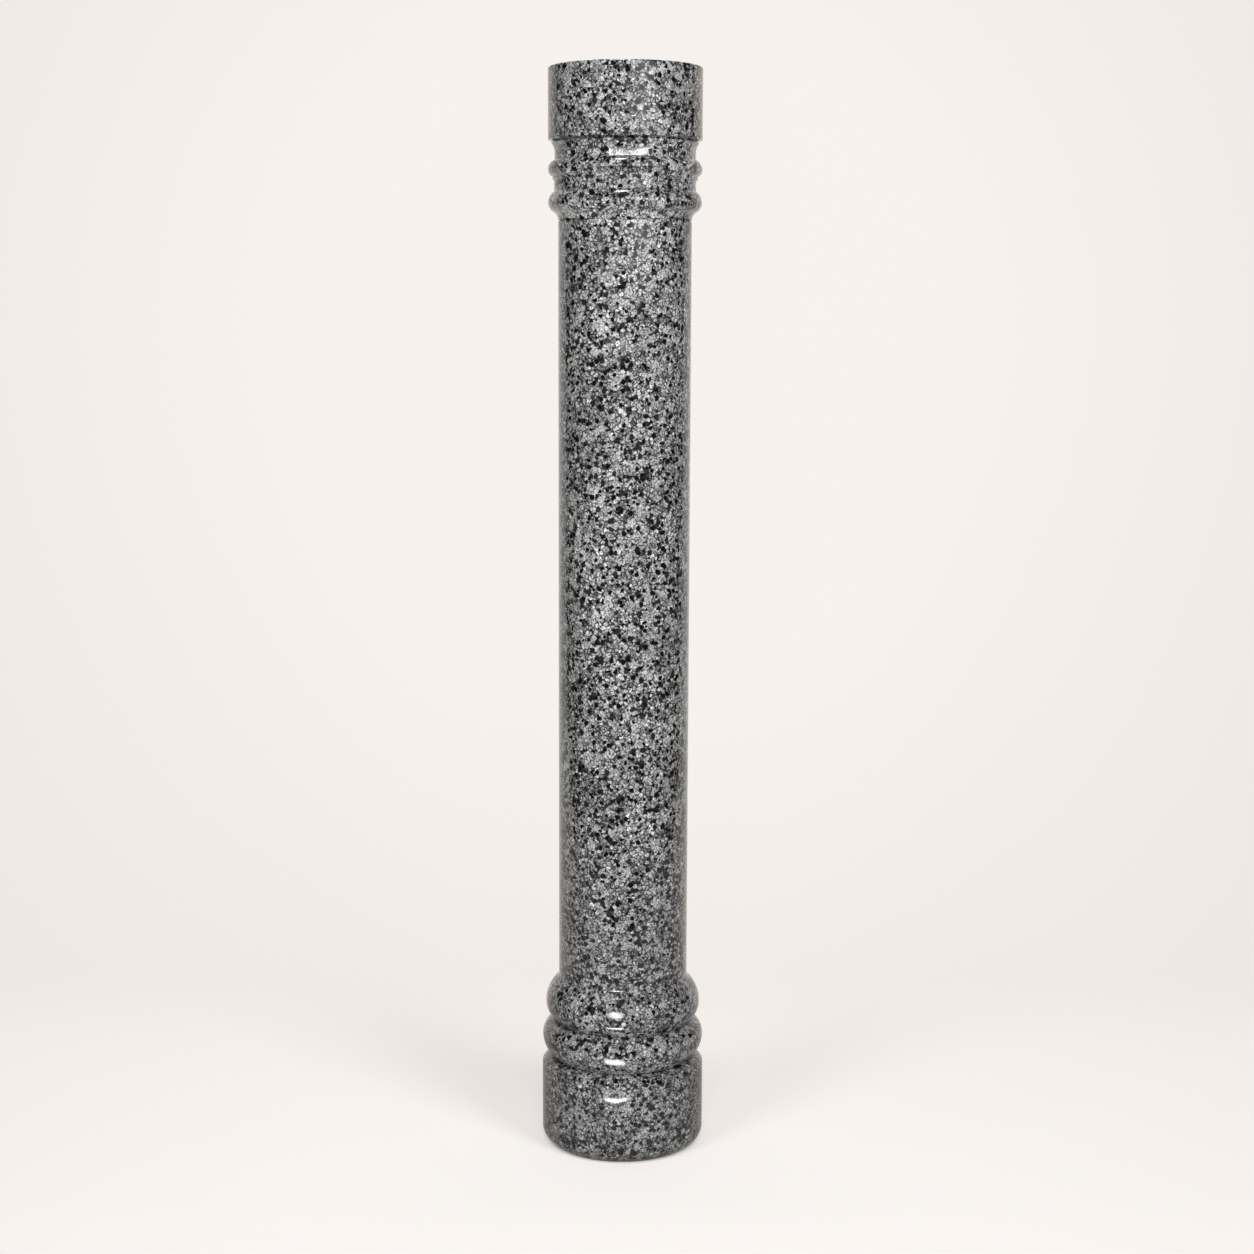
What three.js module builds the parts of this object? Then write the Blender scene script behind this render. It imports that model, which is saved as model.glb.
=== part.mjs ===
// A turned granite baluster: one solid of revolution about +Z, standing on its flat underside.
// Lengths are in millimetres and angles in degrees. The origin is the centre of the underside.
import * as THREE from "three";

// Driving dimensions
const height = 800;
const shaftRadius = 48.5;

// Base block, with a rounded foot and a crowned shoulder above a crisp edge
const base = { radius: 61, foot: 10.5, edgeLevel: 60.5, edgeRound: 2, edgeTurn: 40, crown: 12.8 };

// Rings of the base. Each swells to its radius at its level, with one round below that and one above.
const lowerRing = { radius: 60.7, level: 83, below: 20, above: 13 };
const upperRing = { radius: 58.2, level: 108.6, below: 17, above: 24.5, cove: 6 };

// Collar at the head of the shaft, the bead above it, and the plain neck over each
const collar = { radius: 55.7, level: 704.6, below: 7.7, above: 9.9, cove: 6.4, neck: 51.4 };
const bead = { radius: 55.8, level: 728.1, below: 5.6, above: 7.5, neck: 51.1, neckTop: 740.4 };
const fillet = { radius: 52.6, cove: 1.9, depth: 3.8 };

// Top block, with a hollow moulding under its lower edge
const hollow = { round: 9.5, lip: 54.2 };
const topBlock = { radius: 55.8, bottom: 748.7, lowerEase: 0.8, upperEase: 1.2 };

// Facets
const facetsAround = 60;
const degreesPerFacet = 18;
const sameSpot = 0.01;

const polishedGranite = new THREE.MeshStandardMaterial({ color: 0x7b7a79, roughness: 0.2, metalness: 0 });

const { degToRad, radToDeg } = THREE.MathUtils;

// A round of the profile: its centre, at radius r and height z, and the radius it is struck with.
const round = (r, z, radius) => ({ r, z, radius });

// The rounds below and above a swelling's widest level, both upright there.
const roundBelow = (swelling) => round(swelling.radius - swelling.below, swelling.level, swelling.below);
const roundAbove = (swelling) => round(swelling.radius - swelling.above, swelling.level, swelling.above);

// The direction of a point from the centre of a round, measured up from the outward direction.
const turnTo = (arc, point) => radToDeg(Math.atan2(point.z - arc.z, point.r - arc.r));

// The upward direction in which a round has come to a given radius of the baluster.
const turnAtRadius = (arc, radius) => radToDeg(Math.acos((radius - arc.r) / arc.radius));

// The outer point where two rounds cross, the second above the first.
function meet(first, second) {
  const ahead = new THREE.Vector2(second.r - first.r, second.z - first.z);
  const distance = ahead.length();
  ahead.normalize();
  const along = (first.radius ** 2 - second.radius ** 2 + distance ** 2) / (2 * distance);
  const aside = Math.sqrt(first.radius ** 2 - along ** 2);
  return {
    r: first.r + along * ahead.x + aside * ahead.y,
    z: first.z + along * ahead.y - aside * ahead.x,
  };
}

// The cove that rolls the shaft into a round, above that round (side 1) or below it (side -1).
function coveOnShaft(arc, radius, side) {
  const r = shaftRadius + radius;
  const rise = Math.sqrt((arc.radius + radius) ** 2 - (r - arc.r) ** 2);
  return round(r, arc.z + side * rise, radius);
}

// Adds one point to a profile, unless the profile already ends there.
function addPoint(profile, r, z) {
  const point = new THREE.Vector2(r, z);
  if (profile.length === 0 || profile.at(-1).distanceTo(point) > sameSpot) {
    profile.push(point);
  }
}

// Adds a round to a profile, from one direction to another.
function addRound(profile, arc, from, to) {
  const { r, z, radius } = arc;
  const curve = new THREE.EllipseCurve(r, z, radius, radius, degToRad(from), degToRad(to), to < from);
  const facets = Math.max(2, Math.ceil(Math.abs(to - from) / degreesPerFacet));
  for (const point of curve.getPoints(facets)) {
    addPoint(profile, point.x, point.y);
  }
}

// The round of the base block's shoulder, which carries on from its crisp edge without a corner.
function shoulderCrown() {
  const inward = base.crown - base.edgeRound;
  const turn = degToRad(base.edgeTurn);
  const r = base.radius - base.edgeRound - inward * Math.cos(turn);
  const z = base.edgeLevel - inward * Math.sin(turn);
  return round(r, z, base.crown);
}

// The underside, rounded foot, plain wall, crisp edge and shoulder of the base block.
function addBaseBlock(profile, crown, joint) {
  const foot = round(base.radius - base.foot, base.foot, base.foot);
  const edge = round(base.radius - base.edgeRound, base.edgeLevel, base.edgeRound);
  addPoint(profile, 0, 0);
  addRound(profile, foot, -90, 0);
  addRound(profile, edge, 0, base.edgeTurn);
  addRound(profile, crown, base.edgeTurn, turnTo(crown, joint));
}

// The base block and its two rings, up to the cove where the shaft begins.
function addBase(profile) {
  const crown = shoulderCrown();
  const lowerBelow = roundBelow(lowerRing);
  const lowerAbove = roundAbove(lowerRing);
  const upperBelow = roundBelow(upperRing);
  const upperAbove = roundAbove(upperRing);
  const blockJoint = meet(crown, lowerBelow);
  const ringJoint = meet(lowerAbove, upperBelow);
  const cove = coveOnShaft(upperAbove, upperRing.cove, 1);
  const coveTurn = turnTo(upperAbove, cove);
  addBaseBlock(profile, crown, blockJoint);
  addRound(profile, lowerBelow, turnTo(lowerBelow, blockJoint), 0);
  addRound(profile, lowerAbove, 0, turnTo(lowerAbove, ringJoint));
  addRound(profile, upperBelow, turnTo(upperBelow, ringJoint), 0);
  addRound(profile, upperAbove, 0, coveTurn);
  addRound(profile, cove, 180 + coveTurn, 180);
}

// The head of the shaft: cove and collar, drawn in to the collar's neck.
function addCollar(profile) {
  const below = roundBelow(collar);
  const above = roundAbove(collar);
  const cove = coveOnShaft(below, collar.cove, -1);
  const coveTurn = turnTo(below, cove);
  addRound(profile, cove, 180, 180 + coveTurn);
  addRound(profile, below, coveTurn, 0);
  addRound(profile, above, 0, turnAtRadius(above, collar.neck));
}

// The bead on its small fillet, drawn in to the bead's neck.
function addBead(profile) {
  const below = roundBelow(bead);
  const above = roundAbove(bead);
  const footTurn = turnAtRadius(below, fillet.radius);
  const filletTop = below.z - below.radius * Math.sin(degToRad(footTurn));
  const cove = round(collar.neck + fillet.cove, filletTop - fillet.depth, fillet.cove);
  addRound(profile, cove, 180, turnAtRadius(cove, fillet.radius));
  addRound(profile, below, -footTurn, 0);
  addRound(profile, above, 0, turnAtRadius(above, bead.neck));
}

// The hollow moulding and the top block.
function addTopBlock(profile) {
  const { radius, bottom, lowerEase, upperEase } = topBlock;
  const flare = round(bead.neck + hollow.round, bead.neckTop, hollow.round);
  addRound(profile, flare, 180, turnAtRadius(flare, hollow.lip));
  addRound(profile, round(radius - lowerEase, bottom + lowerEase, lowerEase), -90, 0);
  addRound(profile, round(radius - upperEase, height - upperEase, upperEase), 0, 90);
  addPoint(profile, 0, height);
}

// The whole turned profile, from the centre of the underside to the centre of the top.
function balusterProfile() {
  const profile = [];
  addBase(profile);
  addCollar(profile);
  addBead(profile);
  addTopBlock(profile);
  return profile;
}

// The profile turned about +Z.
function makeBaluster() {
  const geometry = new THREE.LatheGeometry(balusterProfile(), facetsAround);
  geometry.rotateX(Math.PI / 2);
  const mesh = new THREE.Mesh(geometry, polishedGranite);
  mesh.name = "baluster";
  return mesh;
}

const part = new THREE.Group();
part.add(makeBaluster());

export default part;
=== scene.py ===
"""A turned baluster of polished grey granite, standing on a pale paper sweep in soft studio light."""
from collections import namedtuple
from math import acos, atan2, cos, degrees, hypot, pi, radians, sin, sqrt

import bmesh
import bpy
from mathutils import Matrix, Vector


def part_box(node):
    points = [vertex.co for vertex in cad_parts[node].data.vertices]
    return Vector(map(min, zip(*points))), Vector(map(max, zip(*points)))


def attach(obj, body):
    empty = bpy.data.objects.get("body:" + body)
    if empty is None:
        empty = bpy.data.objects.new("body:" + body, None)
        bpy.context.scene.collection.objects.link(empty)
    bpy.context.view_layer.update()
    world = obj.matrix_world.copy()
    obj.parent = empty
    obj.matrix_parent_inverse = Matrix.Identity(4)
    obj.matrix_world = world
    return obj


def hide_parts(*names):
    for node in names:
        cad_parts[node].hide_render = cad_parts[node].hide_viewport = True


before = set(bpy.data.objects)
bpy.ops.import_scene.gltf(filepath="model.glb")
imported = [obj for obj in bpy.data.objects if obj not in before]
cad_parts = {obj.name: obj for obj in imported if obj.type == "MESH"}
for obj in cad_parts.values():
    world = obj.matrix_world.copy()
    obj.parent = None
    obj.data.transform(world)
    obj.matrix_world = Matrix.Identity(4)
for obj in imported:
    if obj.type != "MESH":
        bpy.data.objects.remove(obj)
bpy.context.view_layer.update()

# The baluster's own box gives its height and its widest radius. Lengths are in metres.
lowest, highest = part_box("baluster")
height = highest.z - lowest.z
base_radius = highest.x

# Sizes of the turned profile
Swelling = namedtuple("Swelling", "radius level below above")
Round = namedtuple("Round", "r z radius")

shaft_radius = 0.0485

base_foot = 0.0105
base_edge_level = 0.0605
base_edge_round = 0.002
base_edge_turn = 40
base_crown = 0.0128

lower_ring = Swelling(radius=0.0607, level=0.083, below=0.020, above=0.013)
upper_ring = Swelling(radius=0.0582, level=0.1086, below=0.017, above=0.0245)
upper_ring_cove = 0.006

collar = Swelling(radius=0.0557, level=0.7046, below=0.0077, above=0.0099)
collar_cove = 0.0064
collar_neck = 0.0514

bead = Swelling(radius=0.0558, level=0.7281, below=0.0056, above=0.0075)
bead_neck = 0.0511
bead_neck_top = 0.7404
fillet_radius = 0.0526
fillet_cove = 0.0019
fillet_depth = 0.0038

hollow_round = 0.0095
top_radius = 0.0558
top_bottom = 0.7487
top_lower_ease = 0.0008
top_upper_ease = 0.0012

# Fine V-shaped quirks, cut where one moulding meets the next, and the undercut of the top block
quirk_width = 0.0010
quirk_depth = 0.0013
undercut_lip = 0.0535
undercut_radius = 0.0512
undercut_level = 0.7474

# Fineness of the turned mesh
segments_around = 288
degrees_per_step = 4
longest_run = 0.02
same_spot = 0.00001
crease_angle = radians(30)

# Bending of the stone's grain, and the part of a noise's range that is used
grain_skew = (0.6, 0.4, 0.9)
bend_size = 0.0021
bend_reach = 0.0022
noise_low = 0.3
noise_high = 0.7
fleck_edge = 0.05

# Grey crystals, each with its own tone, and pale patches among them
crystal_size = 0.0031
crystal_tones = ((0.0, 0.20), (0.5, 0.36), (0.94, 0.52), (0.98, 0.65))
patch_size = 0.0060
patch_pick = 0.3
patch_reach = 0.75
patch_tone = (0.46, 0.46, 0.46, 1)

# Dark seams between the crystals, fainter in the patches
narrow_seam = 0.07
wide_seam = 0.24
seam_core = 0.3
seam_strength = 0.92
patch_seam_strength = 0.45
seam_tone = (0.02, 0.02, 0.021, 1)
swell_size = 0.006
swell_low = 0.35
swell_high = 0.65

# Shares by which fine mottling and wide clouds darken or lighten the stone
mottle_size = 0.0012
mottle_detail = 0.5
mottle_darkest = 0.36
mottle_palest = 1.64
cloud_size = 0.045
cloud_darkest = 0.85
cloud_palest = 1.15

# Black crystals and rounded black mica
black_share = 0.08
black_edge = 0.02
black_strength = 0.96
black_tone = (0.010, 0.010, 0.011, 1)
mica_size = 0.0038
mica_pick = 0.1
mica_reach = 0.55
mica_tone = (0.006, 0.006, 0.007, 1)

# Finishes of the stone
bleached_tone = (0.42, 0.42, 0.41, 1)
relief_height = 0.0002
stone_ior = 1.5

# The camera that took the photograph, whose picture is 1254 pixels square
picture_pixels = 1254
focal_pixels = 2172.7
camera_place = Vector((0, -1.599, 0.6267))
camera_tilt = 8.25
camera_pan = -0.085
camera_roll = 0.187
sensor_width = 36

# The paper sweep under and behind the baluster
sweep_half_width = 1.0
sweep_front = -0.6
sweep_bend_start = 0.15
sweep_bend = 0.45
sweep_top = 1.5
sweep_bend_steps = 24

# The paper where it lies, dimmer in what it sheds on the stone, with a painted glow for the camera and the
# polish, and painted shade where the foot meets it
paper_colour = (0.80, 0.775, 0.755, 1)
paper_bounce = (0.35, 0.335, 0.32, 1)
painted_floor_light = (0.50, 0.476, 0.462, 1)
paper_roughness = 0.9
mirrored_painted_light = 0.7
# Painted shade round the foot: the painted glow is gone at the first distance from the axis and whole at the
# second
contact_near = 0.051
contact_far = 0.060
no_light = (0, 0, 0, 1)

# The paper where it stands, with a painted pool of light on it, darker towards its edges
rise_front = 0.12
rise_back = 0.33
standing_colour = (0.04, 0.04, 0.04, 1)
wall_glow = (0.902, 0.859, 0.826, 1)
wall_edge = (0.785, 0.742, 0.69, 1)
wall_spill = (0.39, 0.375, 0.36, 1)
pool_centre = (0, 0.60, 0.58)
pool_core = 0.33
pool_reach = 1.1

# The room round the stage
dim_room = (0.01, 0.01, 0.01, 1)
pale_room = (0.83, 0.79, 0.75, 1)

# Lamps with a flat soft face, turned towards a point. A grid can narrow a lamp's spread, in degrees.
Lamp = namedtuple("Lamp", "name place aim width tall watts spread", defaults=(180,))

right_softbox = Lamp("right softbox", place=(0.69, -1.40, 1.1), aim=(0, 0, 0.80),
                     width=1.0, tall=0.9, watts=1.0, spread=70)
left_softbox = Lamp("left softbox", place=(-0.98, -1.25, 1.2), aim=(0, 0, 0.6),
                    width=0.3, tall=0.6, watts=0.3, spread=100)

# Lamps that are only mirrored in the polish, one for each bright patch on the stone
glints = [
    right_softbox._replace(name="right glint", watts=1.25),
    Lamp("neck glint", place=(0.046, -0.351, 0.7562), aim=(0.046, 0, 0.7562),
         width=0.41, tall=0.005, watts=0.13),
    Lamp("collar glint", place=(-0.029, -0.142, 0.997), aim=(-0.006, -0.053, 0.7116),
         width=0.156, tall=0.15, watts=0.03, spread=16),
    Lamp("edge glint", place=(-0.049, -0.05, 1.5), aim=(-0.002, -0.055, 0.8),
         width=0.178, tall=0.3, watts=0.12, spread=20),
    Lamp("overhead glint", place=(-0.24, -0.86, 1.9), aim=(-0.01, -0.05, 0.125),
         width=0.45, tall=0.12, watts=0.02, spread=20),
    Lamp("upper ring glint", place=(-0.012, -0.098, 0.1225), aim=(-0.0048, -0.058, 0.1165),
         width=0.036, tall=0.033, watts=0.003, spread=30),
    Lamp("lower ring glint", place=(-0.012, -0.0854, 0.0546), aim=(-0.0065, -0.0598, 0.0785),
         width=0.032, tall=0.030, watts=0.0035, spread=34),
    Lamp("base glint", place=(-0.026, -0.189, 0.003), aim=(-0.0041, -0.061, 0.050),
         width=0.10, tall=0.003, watts=0.0018, spread=34),
]

# Lamps for the stone alone: three in front, one behind it and one over its top bed
stone_fills = [
    Lamp("high fill", place=(0, -0.9, 0.75), aim=(0, 0, 0.75), width=0.3, tall=0.3, watts=1.73, spread=90),
    Lamp("shaft fill", place=(0, -0.3, 0.30), aim=(0, 0, 0.30), width=0.03, tall=0.5, watts=0.60),
    Lamp("base fill", place=(0, -0.9, 0.1), aim=(0, 0, 0.04), width=0.15, tall=0.15, watts=0.023, spread=20),
    Lamp("back fill", place=(0, 0.5, 0.45), aim=(0, 0, 0.45), width=0.2, tall=0.7, watts=2.2),
    Lamp("bed fill", place=(0, 0, 1.5), aim=(0, 0, 0.8), width=0.2, tall=0.2, watts=0.11, spread=14),
]

# Lamps for the paper alone: one in front, and one at each side for the two shadows at the foot
paper_lamps = [
    Lamp("front paper lamp", place=(0, -0.9, 0.75), aim=(0, 0, 0.75), width=0.3, tall=0.3, watts=3),
    Lamp("right paper lamp", place=(1.84, -2.24, 1.92), aim=(0, 0, 0), width=1.1, tall=1.1, watts=34),
    Lamp("left paper lamp", place=(-1.84, -2.24, 1.92), aim=(0, 0, 0), width=1.1, tall=1.1, watts=25),
]


# Profile of the baluster

def round_below(swelling):
    """The round under a swelling's widest level."""
    return Round(swelling.radius - swelling.below, swelling.level, swelling.below)


def round_above(swelling):
    """The round over a swelling's widest level."""
    return Round(swelling.radius - swelling.above, swelling.level, swelling.above)


def turn_to(arc, point):
    """The direction of a point from the centre of a round, in degrees up from outward."""
    r, z = point
    return degrees(atan2(z - arc.z, r - arc.r))


def turn_at_radius(arc, radius):
    """The upward direction in which a round has come to a given radius of the baluster."""
    return degrees(acos((radius - arc.r) / arc.radius))


def meet(first, second):
    """The outer point where two rounds cross, the second above the first."""
    ahead_r = second.r - first.r
    ahead_z = second.z - first.z
    distance = hypot(ahead_r, ahead_z)
    along = (first.radius ** 2 - second.radius ** 2 + distance ** 2) / (2 * distance)
    aside = sqrt(first.radius ** 2 - along ** 2)
    r = first.r + (along * ahead_r + aside * ahead_z) / distance
    z = first.z + (along * ahead_z - aside * ahead_r) / distance
    return r, z


def cove_on_shaft(arc, radius, side):
    """The cove that rolls the shaft into a round, above that round (side 1) or below it (side -1)."""
    r = shaft_radius + radius
    rise = sqrt((arc.radius + radius) ** 2 - (r - arc.r) ** 2)
    return Round(r, arc.z + side * rise, radius)


def add_point(profile, r, z):
    """Adds one point, after enough points on the straight run to it, unless the profile ends there."""
    if not profile:
        profile.append((r, z))
        return
    last_r, last_z = profile[-1]
    run = hypot(r - last_r, z - last_z)
    if run < same_spot:
        return
    steps = int(run / longest_run) + 1
    for step in range(1, steps + 1):
        share = step / steps
        profile.append((last_r + (r - last_r) * share, last_z + (z - last_z) * share))


def add_round(profile, arc, start, end):
    """Adds a round, from one direction to another, in degrees up from outward."""
    steps = max(2, round(abs(end - start) / degrees_per_step))
    for step in range(steps + 1):
        turn = radians(start + (end - start) * step / steps)
        add_point(profile, arc.r + arc.radius * cos(turn), arc.z + arc.radius * sin(turn))


def add_joint(profile, first, start, second, end):
    """Two rounds that meet at a quirk: the first from its start direction, the second to its end."""
    r, z = meet(first, second)
    first_gap = degrees(quirk_width / 2 / first.radius)
    second_gap = degrees(quirk_width / 2 / second.radius)
    add_round(profile, first, start, turn_to(first, (r, z)) - first_gap)
    add_point(profile, r - quirk_depth, z)
    add_round(profile, second, turn_to(second, (r, z)) + second_gap, end)


def add_base(profile):
    """The base block and its two rings, up to the cove where the shaft begins."""
    foot = Round(base_radius - base_foot, base_foot, base_foot)
    edge = Round(base_radius - base_edge_round, base_edge_level, base_edge_round)
    inward = base_crown - base_edge_round
    edge_turn = radians(base_edge_turn)
    crown = Round(edge.r - inward * cos(edge_turn), edge.z - inward * sin(edge_turn), base_crown)
    upper_above = round_above(upper_ring)
    cove = cove_on_shaft(upper_above, upper_ring_cove, 1)
    cove_turn = turn_to(upper_above, (cove.r, cove.z))
    add_point(profile, 0, 0)
    add_round(profile, foot, -90, 0)
    add_round(profile, edge, 0, base_edge_turn)
    add_joint(profile, crown, base_edge_turn, round_below(lower_ring), 0)
    add_joint(profile, round_above(lower_ring), 0, round_below(upper_ring), 0)
    add_round(profile, upper_above, 0, cove_turn)
    add_round(profile, cove, 180 + cove_turn, 180)


def add_collar(profile):
    """The head of the shaft: quirk, cove and collar, drawn in to the collar's neck."""
    below = round_below(collar)
    above = round_above(collar)
    cove = cove_on_shaft(below, collar_cove, -1)
    cove_turn = turn_to(below, (cove.r, cove.z))
    add_point(profile, shaft_radius, cove.z - quirk_width)
    add_point(profile, shaft_radius - quirk_depth, cove.z - quirk_width / 2)
    add_round(profile, cove, 180, 180 + cove_turn)
    add_round(profile, below, cove_turn, 0)
    add_round(profile, above, 0, turn_at_radius(above, collar_neck))


def add_bead(profile):
    """The bead on its small fillet, drawn in to the bead's neck."""
    below = round_below(bead)
    above = round_above(bead)
    foot_turn = turn_at_radius(below, fillet_radius)
    fillet_top = below.z - below.radius * sin(radians(foot_turn))
    cove = Round(collar_neck + fillet_cove, fillet_top - fillet_depth, fillet_cove)
    add_round(profile, cove, 180, turn_at_radius(cove, fillet_radius))
    add_round(profile, below, -foot_turn, 0)
    add_round(profile, above, 0, turn_at_radius(above, bead_neck))


def add_top_block(profile):
    """The hollow moulding, and the top block undercut above it."""
    flare = Round(bead_neck + hollow_round, bead_neck_top, hollow_round)
    lower_ease = Round(top_radius - top_lower_ease, top_bottom + top_lower_ease, top_lower_ease)
    upper_ease = Round(top_radius - top_upper_ease, height - top_upper_ease, top_upper_ease)
    add_round(profile, flare, 180, turn_at_radius(flare, undercut_lip))
    add_point(profile, undercut_radius, undercut_level)
    add_round(profile, lower_ease, -90, 0)
    add_round(profile, upper_ease, 0, 90)
    add_point(profile, 0, height)


def baluster_profile():
    """The whole turned profile, from the centre of the underside to the centre of the top."""
    profile = []
    add_base(profile)
    add_collar(profile)
    add_bead(profile)
    add_top_block(profile)
    return profile


# The turned mesh

def turn_mesh(name, profile):
    """A closed mesh turned about the Z axis. Faces of the two flat beds take the second material."""
    mesh_maker = bmesh.new()
    directions = [2 * pi * step / segments_around for step in range(segments_around)]
    rings = []
    for r, z in profile[1:-1]:
        rings.append([mesh_maker.verts.new((r * cos(turn), r * sin(turn), z)) for turn in directions])
    below_centre = mesh_maker.verts.new((0, 0, profile[0][1]))
    top_centre = mesh_maker.verts.new((0, 0, profile[-1][1]))
    for here in range(segments_around):
        beside = (here + 1) % segments_around
        mesh_maker.faces.new((below_centre, rings[0][beside], rings[0][here]))
        mesh_maker.faces.new((top_centre, rings[-1][here], rings[-1][beside]))
        for lower, upper in zip(rings, rings[1:]):
            mesh_maker.faces.new((lower[here], lower[beside], upper[beside], upper[here]))
    mesh_maker.normal_update()
    for face in mesh_maker.faces:
        face.smooth = True
        level = face.calc_center_median().z
        on_a_bed = level < same_spot or level > height - same_spot
        face.material_index = 1 if on_a_bed else 0
    mesh = bpy.data.meshes.new(name)
    mesh_maker.to_mesh(mesh)
    mesh_maker.free()
    mesh.set_sharp_from_angle(angle=crease_angle)
    return mesh


# Nodes that the materials share

def set_socket(tree, socket, value):
    """Links a socket to another, or sets it to a value."""
    if isinstance(value, bpy.types.NodeSocket):
        tree.links.new(value, socket)
    else:
        socket.default_value = value


def add_node(tree, kind, inputs=None, **settings):
    """A node with its settings, and with each named input either linked or set to a value."""
    node = tree.nodes.new(kind)
    for setting, value in settings.items():
        setattr(node, setting, value)
    for name, value in (inputs or {}).items():
        set_socket(tree, node.inputs[name], value)
    return node


def add_math(tree, operation, first, second):
    """The result of one sum on two values or sockets."""
    return add_node(tree, "ShaderNodeMath", {0: first, 1: second}, operation=operation).outputs[0]


def add_range(tree, value, from_min, from_max, to_min=0.0, to_max=1.0, way="LINEAR"):
    """A value moved from one range to another and kept inside it."""
    inputs = {"Value": value, "From Min": from_min, "From Max": from_max, "To Min": to_min, "To Max": to_max}
    node = add_node(tree, "ShaderNodeMapRange", inputs, clamp=True, interpolation_type=way)
    return node.outputs["Result"]


def add_noise(tree, place, size, detail=1.0):
    """Cloudy noise with blotches of about the given size."""
    inputs = {"Vector": place, "Scale": 1 / size, "Detail": detail}
    return add_node(tree, "ShaderNodeTexNoise", inputs, noise_dimensions="3D").outputs


def add_cells(tree, place, size, feature="F1"):
    """Irregular grains of about the given size."""
    inputs = {"Vector": place, "Scale": 1 / size, "Randomness": 1.0}
    return add_node(tree, "ShaderNodeTexVoronoi", inputs, voronoi_dimensions="3D", feature=feature).outputs


def split_colour(tree, colour):
    """The three values of a colour."""
    return add_node(tree, "ShaderNodeSeparateColor", {"Color": colour}).outputs


def add_ramp(tree, value, stops):
    """A colour ramp from a list of places and grey tones."""
    node = add_node(tree, "ShaderNodeValToRGB", {"Fac": value})
    ramp = node.color_ramp
    while len(ramp.elements) < len(stops):
        ramp.elements.new(1.0)
    for element, (place, tone) in zip(ramp.elements, stops):
        element.position = place
        element.color = (tone, tone, tone, 1)
    return node.outputs["Color"]


def mix_colours(tree, amount, first, second, blend="MIX"):
    """Two colours mixed by an amount. The node's colour sockets share their names, so they go by place."""
    node = add_node(tree, "ShaderNodeMix", data_type="RGBA", blend_type=blend)
    for place, value in ((0, amount), (6, first), (7, second)):
        set_socket(tree, node.inputs[place], value)
    return node.outputs[2]


def add_vector_math(tree, operation, inputs):
    """A node for a sum on vectors."""
    return add_node(tree, "ShaderNodeVectorMath", inputs, operation=operation).outputs


# The grain of the stone

def bend_place(tree, place):
    """A place pushed about by noise, which makes the grains' edges irregular."""
    noise = add_noise(tree, place, bend_size)
    centred = add_vector_math(tree, "SUBTRACT", {0: noise["Color"], 1: (0.5, 0.5, 0.5)})["Vector"]
    push = add_vector_math(tree, "SCALE", {0: centred, "Scale": bend_reach})["Vector"]
    return add_vector_math(tree, "ADD", {0: place, 1: push})["Vector"]


def add_flecks(tree, place, size, smallest_pick, widest):
    """A mask of separate rounded grains: only cells picked above a share hold one, of various widths."""
    cells = add_cells(tree, place, size)
    pick = split_colour(tree, cells["Color"])["Red"]
    reach = add_range(tree, pick, smallest_pick, 1.0, 0.0, widest)
    inside = add_math(tree, "SUBTRACT", reach, cells["Distance"])
    return add_range(tree, inside, -fleck_edge, fleck_edge)


def add_seams(tree, place, bent, patches):
    """A mask of the seams between the crystals, of changing width."""
    distance = add_cells(tree, bent, crystal_size, "DISTANCE_TO_EDGE")["Distance"]
    swell = add_noise(tree, place, swell_size)[0]
    width = add_range(tree, swell, swell_low, swell_high, narrow_seam, wide_seam)
    seams = add_range(tree, add_math(tree, "DIVIDE", distance, width), seam_core, 1.0, 1.0, 0.0)
    strength = add_range(tree, patches, 0.0, 1.0, seam_strength, patch_seam_strength)
    return add_math(tree, "MULTIPLY", seams, strength)


def shade_by_noise(tree, tone, noise, darkest, palest):
    """A tone darkened and lightened by noise."""
    share = add_range(tree, noise, noise_low, noise_high, darkest, palest)
    return mix_colours(tree, 1.0, tone, share, "MULTIPLY")


def start_grain_group():
    """An empty node group with the grain's named sockets."""
    group = bpy.data.node_groups.new("granite grain", "ShaderNodeTree")
    group.interface.new_socket("Place", in_out="INPUT", socket_type="NodeSocketVector")
    group.interface.new_socket("Bleach", in_out="INPUT", socket_type="NodeSocketFloat")
    group.interface.new_socket("Colour", in_out="OUTPUT", socket_type="NodeSocketColor")
    group.interface.new_socket("Mica", in_out="OUTPUT", socket_type="NodeSocketFloat")
    group.interface.new_socket("Relief", in_out="OUTPUT", socket_type="NodeSocketFloat")
    return group


def make_granite_grain():
    """The grain all through the block: grey crystals, pale patches, dark seams and black mica."""
    group = start_grain_group()
    inside = group.nodes.new("NodeGroupInput").outputs
    outside = group.nodes.new("NodeGroupOutput").inputs
    skewed = add_node(group, "ShaderNodeMapping", {"Vector": inside["Place"], "Rotation": grain_skew})
    place = skewed.outputs["Vector"]
    bent = bend_place(group, place)
    picks = split_colour(group, add_cells(group, bent, crystal_size)["Color"])
    patches = add_flecks(group, bent, patch_size, patch_pick, patch_reach)
    mica = add_flecks(group, bent, mica_size, mica_pick, mica_reach)
    mottle = add_noise(group, place, mottle_size, mottle_detail)[0]
    clouds = add_noise(group, place, cloud_size)[0]
    black = add_range(group, picks["Green"], black_share, black_share + black_edge, black_strength, 0.0)

    tone = add_ramp(group, picks["Red"], crystal_tones)
    tone = mix_colours(group, patches, tone, patch_tone)
    tone = mix_colours(group, add_seams(group, place, bent, patches), tone, seam_tone)
    tone = shade_by_noise(group, tone, mottle, mottle_darkest, mottle_palest)
    tone = shade_by_noise(group, tone, clouds, cloud_darkest, cloud_palest)
    tone = mix_colours(group, black, tone, black_tone)
    tone = mix_colours(group, mica, tone, mica_tone)
    tone = mix_colours(group, inside["Bleach"], tone, bleached_tone)

    group.links.new(tone, outside["Colour"])
    group.links.new(mica, outside["Mica"])
    group.links.new(mottle, outside["Relief"])
    return group


# Materials

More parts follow.
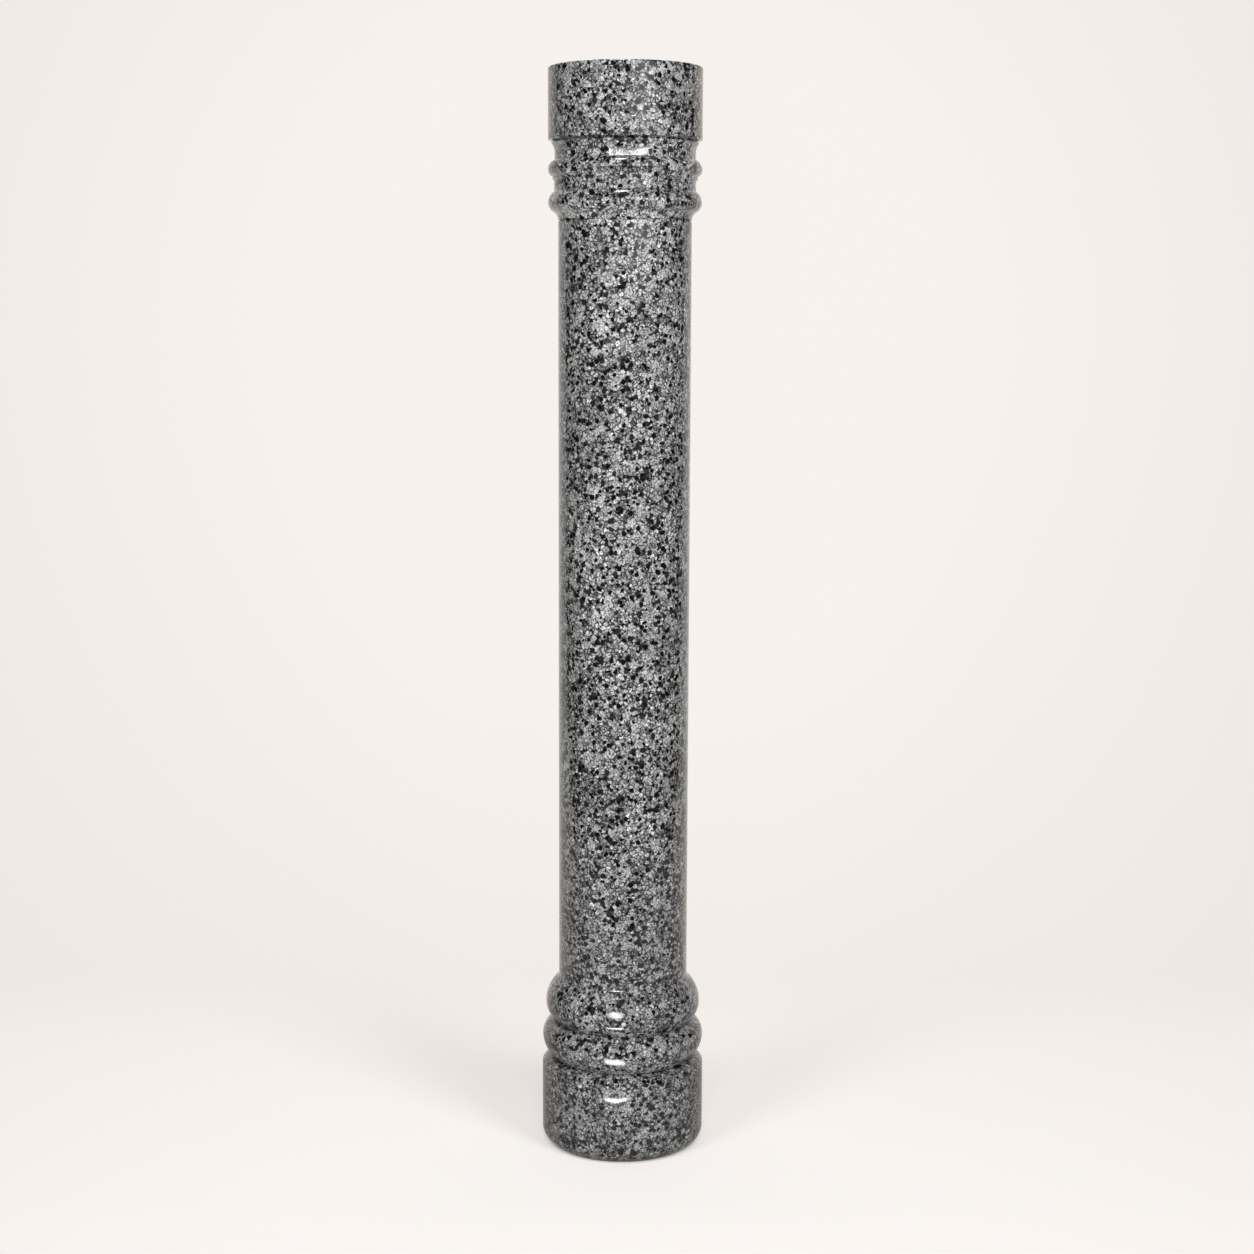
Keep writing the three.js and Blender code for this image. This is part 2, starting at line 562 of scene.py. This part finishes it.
def make_stone(name, grain, bleach, crystal_roughness, mica_roughness, relief):
    """A granite finish: the block's own grain with a given polish."""
    material = bpy.data.materials.new(name)
    material.use_nodes = True
    tree = material.node_tree
    shader = tree.nodes["Principled BSDF"]
    place = add_node(tree, "ShaderNodeTexCoord").outputs["Object"]
    stone = add_node(tree, "ShaderNodeGroup", node_tree=grain)
    set_socket(tree, stone.inputs["Place"], place)
    set_socket(tree, stone.inputs["Bleach"], bleach)
    roughness = add_range(tree, stone.outputs["Mica"], 0.0, 1.0, crystal_roughness, mica_roughness)
    bump_inputs = {"Height": stone.outputs["Relief"], "Strength": relief, "Distance": relief_height}
    bump = add_node(tree, "ShaderNodeBump", bump_inputs)
    tree.links.new(stone.outputs["Colour"], shader.inputs["Base Color"])
    tree.links.new(roughness, shader.inputs["Roughness"])
    tree.links.new(bump.outputs["Normal"], shader.inputs["Normal"])
    shader.inputs["IOR"].default_value = stone_ior
    return material


def add_painted_floor_light(tree, place, rays):
    """The even painted light of the paper where it lies, for the camera and the polish, with painted shade
    at the foot.
    """
    mirrored = add_math(tree, "MULTIPLY", rays["Is Glossy Ray"], mirrored_painted_light)
    seen = add_math(tree, "MAXIMUM", rays["Is Camera Ray"], mirrored)
    # Painted shade: the painted light fades out close to the foot
    from_axis = add_vector_math(tree, "LENGTH", {0: place})["Value"]
    clear_of_foot = add_range(tree, from_axis, contact_near, contact_far, way="SMOOTHSTEP")
    return mix_colours(tree, add_math(tree, "MULTIPLY", seen, clear_of_foot), no_light, painted_floor_light)


def add_standing_glow(tree, place, rays):
    """The painted pool of light on the paper where it stands, dimmer in what it sheds on the stone."""
    off_centre = add_vector_math(tree, "DISTANCE", {0: place, 1: pool_centre})["Value"]
    pool = mix_colours(tree, add_range(tree, off_centre, pool_core, pool_reach), wall_glow, wall_edge)
    return mix_colours(tree, rays["Is Diffuse Ray"], pool, wall_spill)


def clear_from_behind(tree, shader, rays):
    """Lets the camera see through the back of the paper."""
    behind = add_node(tree, "ShaderNodeNewGeometry").outputs["Backfacing"]
    seen_behind = add_math(tree, "MULTIPLY", behind, rays["Is Camera Ray"])
    clear = add_node(tree, "ShaderNodeBsdfTransparent").outputs["BSDF"]
    faces = add_node(tree, "ShaderNodeMixShader", {0: seen_behind, 1: shader.outputs["BSDF"], 2: clear})
    tree.links.new(faces.outputs["Shader"], tree.nodes["Material Output"].inputs["Surface"])


def make_paper():
    """The matt paper of the sweep: lit by the lamps and by painted light where it lies, with a painted glow
    where it stands behind.
    """
    material = bpy.data.materials.new("sweep paper")
    material.use_nodes = True
    tree = material.node_tree
    shader = tree.nodes["Principled BSDF"]
    rays = add_node(tree, "ShaderNodeLightPath").outputs
    place = add_node(tree, "ShaderNodeTexCoord").outputs["Object"]
    depth = add_node(tree, "ShaderNodeSeparateXYZ", {"Vector": place}).outputs["Y"]
    standing = add_range(tree, depth, rise_front, rise_back, way="SMOOTHSTEP")
    lying_colour = mix_colours(tree, rays["Is Camera Ray"], paper_bounce, paper_colour)
    painted_light = add_painted_floor_light(tree, place, rays)
    glow = add_standing_glow(tree, place, rays)
    tree.links.new(mix_colours(tree, standing, lying_colour, standing_colour), shader.inputs["Base Color"])
    # Painted light: the paper's emission stands in for light on the floor and on the wall
    tree.links.new(mix_colours(tree, standing, painted_light, glow), shader.inputs["Emission Color"])
    shader.inputs["Emission Strength"].default_value = 1.0
    shader.inputs["Roughness"].default_value = paper_roughness
    shader.inputs["Specular IOR Level"].default_value = 0.0
    clear_from_behind(tree, shader, rays)
    return material


# The piece and its stage

def make_baluster():
    """The turned and polished block, with sawn beds."""
    piece = bpy.data.objects.new("turned_baluster", turn_mesh("turned_baluster", baluster_profile()))
    bpy.context.scene.collection.objects.link(piece)
    grain = make_granite_grain()
    polished = make_stone("polished granite", grain, bleach=0.0,
                          crystal_roughness=0.045, mica_roughness=0.08, relief=0.008)
    sawn = make_stone("sawn granite", grain, bleach=0.4,
                      crystal_roughness=0.55, mica_roughness=0.6, relief=0.5)
    piece.data.materials.append(polished)
    piece.data.materials.append(sawn)
    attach(piece, "root")
    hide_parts("baluster")
    return piece


def make_sweep():
    """Paper that lies under the baluster and curves up behind it."""
    line = [(sweep_front, 0), (sweep_bend_start, 0)]
    for step in range(1, sweep_bend_steps + 1):
        turn = pi / 2 * step / sweep_bend_steps
        line.append((sweep_bend_start + sweep_bend * sin(turn), sweep_bend * (1 - cos(turn))))
    line.append((sweep_bend_start + sweep_bend, sweep_top))
    mesh_maker = bmesh.new()
    left = [mesh_maker.verts.new((-sweep_half_width, y, z)) for y, z in line]
    right = [mesh_maker.verts.new((sweep_half_width, y, z)) for y, z in line]
    for here in range(len(line) - 1):
        face = mesh_maker.faces.new((left[here], right[here], right[here + 1], left[here + 1]))
        face.smooth = True
    mesh = bpy.data.meshes.new("paper_sweep")
    mesh_maker.to_mesh(mesh)
    mesh_maker.free()
    sweep = bpy.data.objects.new("paper_sweep", mesh)
    bpy.context.scene.collection.objects.link(sweep)
    mesh.materials.append(make_paper())
    return sweep


# Lamps, room and camera

def add_lamp(lamp):
    """One lamp of the lists above, which the camera itself doesn't see."""
    light = bpy.data.lights.new(lamp.name, "AREA")
    light.shape = "RECTANGLE"
    light.size = lamp.width
    light.size_y = lamp.tall
    light.energy = lamp.watts
    light.spread = radians(lamp.spread)
    holder = bpy.data.objects.new(lamp.name, light)
    holder.location = lamp.place
    holder.rotation_euler = (Vector(lamp.aim) - Vector(lamp.place)).to_track_quat("-Z", "Y").to_euler()
    holder.visible_camera = False
    bpy.context.scene.collection.objects.link(holder)
    return holder


def add_fill(lamp, target):
    """A lamp that lights one thing alone, as flags would let it, and isn't mirrored in the polish."""
    holder = add_lamp(lamp)
    holder.visible_glossy = False
    lit = bpy.data.collections.new("lit by " + lamp.name)
    lit.objects.link(target)
    holder.light_linking.receiver_collection = lit


def add_lights(baluster, sweep):
    """A softbox at each side, lamps that only the polish mirrors, and fills for the stone and the paper."""
    add_lamp(right_softbox)
    add_lamp(left_softbox)
    for glint in glints:
        add_lamp(glint).visible_diffuse = False
    for lamp in stone_fills:
        add_fill(lamp, baluster)
    for lamp in paper_lamps:
        add_fill(lamp, sweep)


def make_room():
    """The room round the stage, pale to the camera and dim in what it sheds on the stone."""
    room = bpy.data.worlds.new("studio room")
    room.use_nodes = True
    tree = room.node_tree
    rays = add_node(tree, "ShaderNodeLightPath").outputs
    around = mix_colours(tree, rays["Is Camera Ray"], dim_room, pale_room)
    tree.links.new(around, tree.nodes["Background"].inputs["Color"])
    bpy.context.scene.world = room


def add_camera():
    """The photograph's camera."""
    eye = bpy.data.cameras.new("photo camera")
    eye.sensor_fit = "HORIZONTAL"
    eye.sensor_width = sensor_width
    eye.lens = sensor_width * focal_pixels / picture_pixels
    holder = bpy.data.objects.new("photo camera", eye)
    pan = Matrix.Rotation(radians(camera_pan), 4, "Z")
    tilt = Matrix.Rotation(radians(90 - camera_tilt), 4, "X")
    roll = Matrix.Rotation(radians(camera_roll), 4, "Z")
    holder.matrix_world = Matrix.Translation(camera_place) @ pan @ tilt @ roll
    bpy.context.scene.collection.objects.link(holder)
    bpy.context.scene.camera = holder


baluster = make_baluster()
sweep = make_sweep()
add_lights(baluster, sweep)
make_room()
add_camera()
bpy.context.scene.view_settings.view_transform = "Standard"
